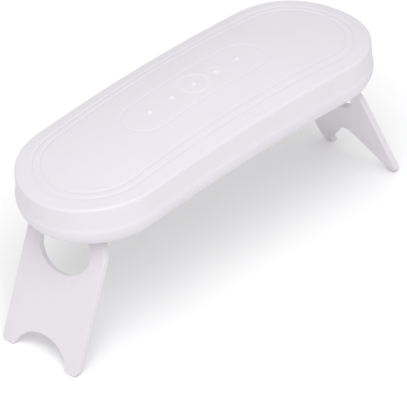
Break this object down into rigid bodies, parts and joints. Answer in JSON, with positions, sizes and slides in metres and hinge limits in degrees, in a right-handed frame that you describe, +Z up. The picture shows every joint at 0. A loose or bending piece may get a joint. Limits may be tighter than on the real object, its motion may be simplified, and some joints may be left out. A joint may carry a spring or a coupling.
{
  "type": "uv curing lamp",
  "caption": "Slim capsule-shaped ultraviolet curing lamp on a pair of fold-out legs, with a push button on top, a charging socket in the back wall and LEDs facing down.",
  "frame": {"origin": "on the floor under the middle of the body, between the four toes of the two legs", "axes": "+X along the body's length, +Y to the long side with the charging socket, +Z up"},
  "size_m": [0.1436, 0.0492, 0.0635],
  "materials": {
    "shell_plastic": "fine satin white ABS",
    "leg_plastic": "satin white ABS",
    "button_plastic": "fine satin white ABS",
    "light_pipe": "milky polycarbonate",
    "steel": "plated",
    "reflector": "bright white reflector",
    "led_board": "white solder mask on aluminium",
    "led_package": "matte",
    "led_lens": "clear silicone",
    "circuit_board": "green solder mask",
    "black_epoxy": "moulded",
    "ceramic_chip": "fired",
    "red_wire": "smooth",
    "black_wire": "smooth"
  },
  "bodies": {
    "housing": {"top_cover": "shell_plastic", "base_shell": "shell_plastic", "indicator_light_pipe": "light_pipe", "hinge_pin_left": "steel", "hinge_pin_right": "steel", "reflector_plate": "reflector", "led_board": "led_board", "led_packages": "led_package", "led_lenses": "led_lens", "control_board": "circuit_board", "microcontroller": "black_epoxy", "driver_transistors": "black_epoxy", "control_resistors": "black_epoxy", "control_capacitors": "ceramic_chip", "input_diode": "black_epoxy", "indicator_led": "led_package", "switch_body": "black_epoxy", "switch_terminals": "steel", "usb_socket_shell": "steel", "usb_socket_tongue": "black_epoxy", "case_screws": "steel", "led_board_screws": "steel", "control_board_screws": "steel", "lead_positive": "red_wire", "lead_negative": "black_wire"},
    "button": {"button_cap": "button_plastic", "switch_plunger": "black_epoxy"},
    "left_leg": {"leg_left": "leg_plastic"},
    "right_leg": {"leg_right": "leg_plastic"}
  },
  "joints": [
    {"name": "left_leg_fold", "type": "hinge", "parent": "housing", "child": "left_leg", "pos_m": [-0.05237, 0, 0.0435], "axis": [0, -1, 0], "range_deg": [0, 114.8]},
    {"name": "right_leg_fold", "type": "hinge", "parent": "housing", "child": "right_leg", "pos_m": [0.05237, 0, 0.0435], "axis": [0, 1, 0], "range_deg": [0, 114.8]},
    {"name": "button_press", "type": "slide", "parent": "housing", "child": "button", "axis": [0, 0, -1], "range_m": [0, 0.0005], "stiffness_N_per_m": 1500}
  ]
}
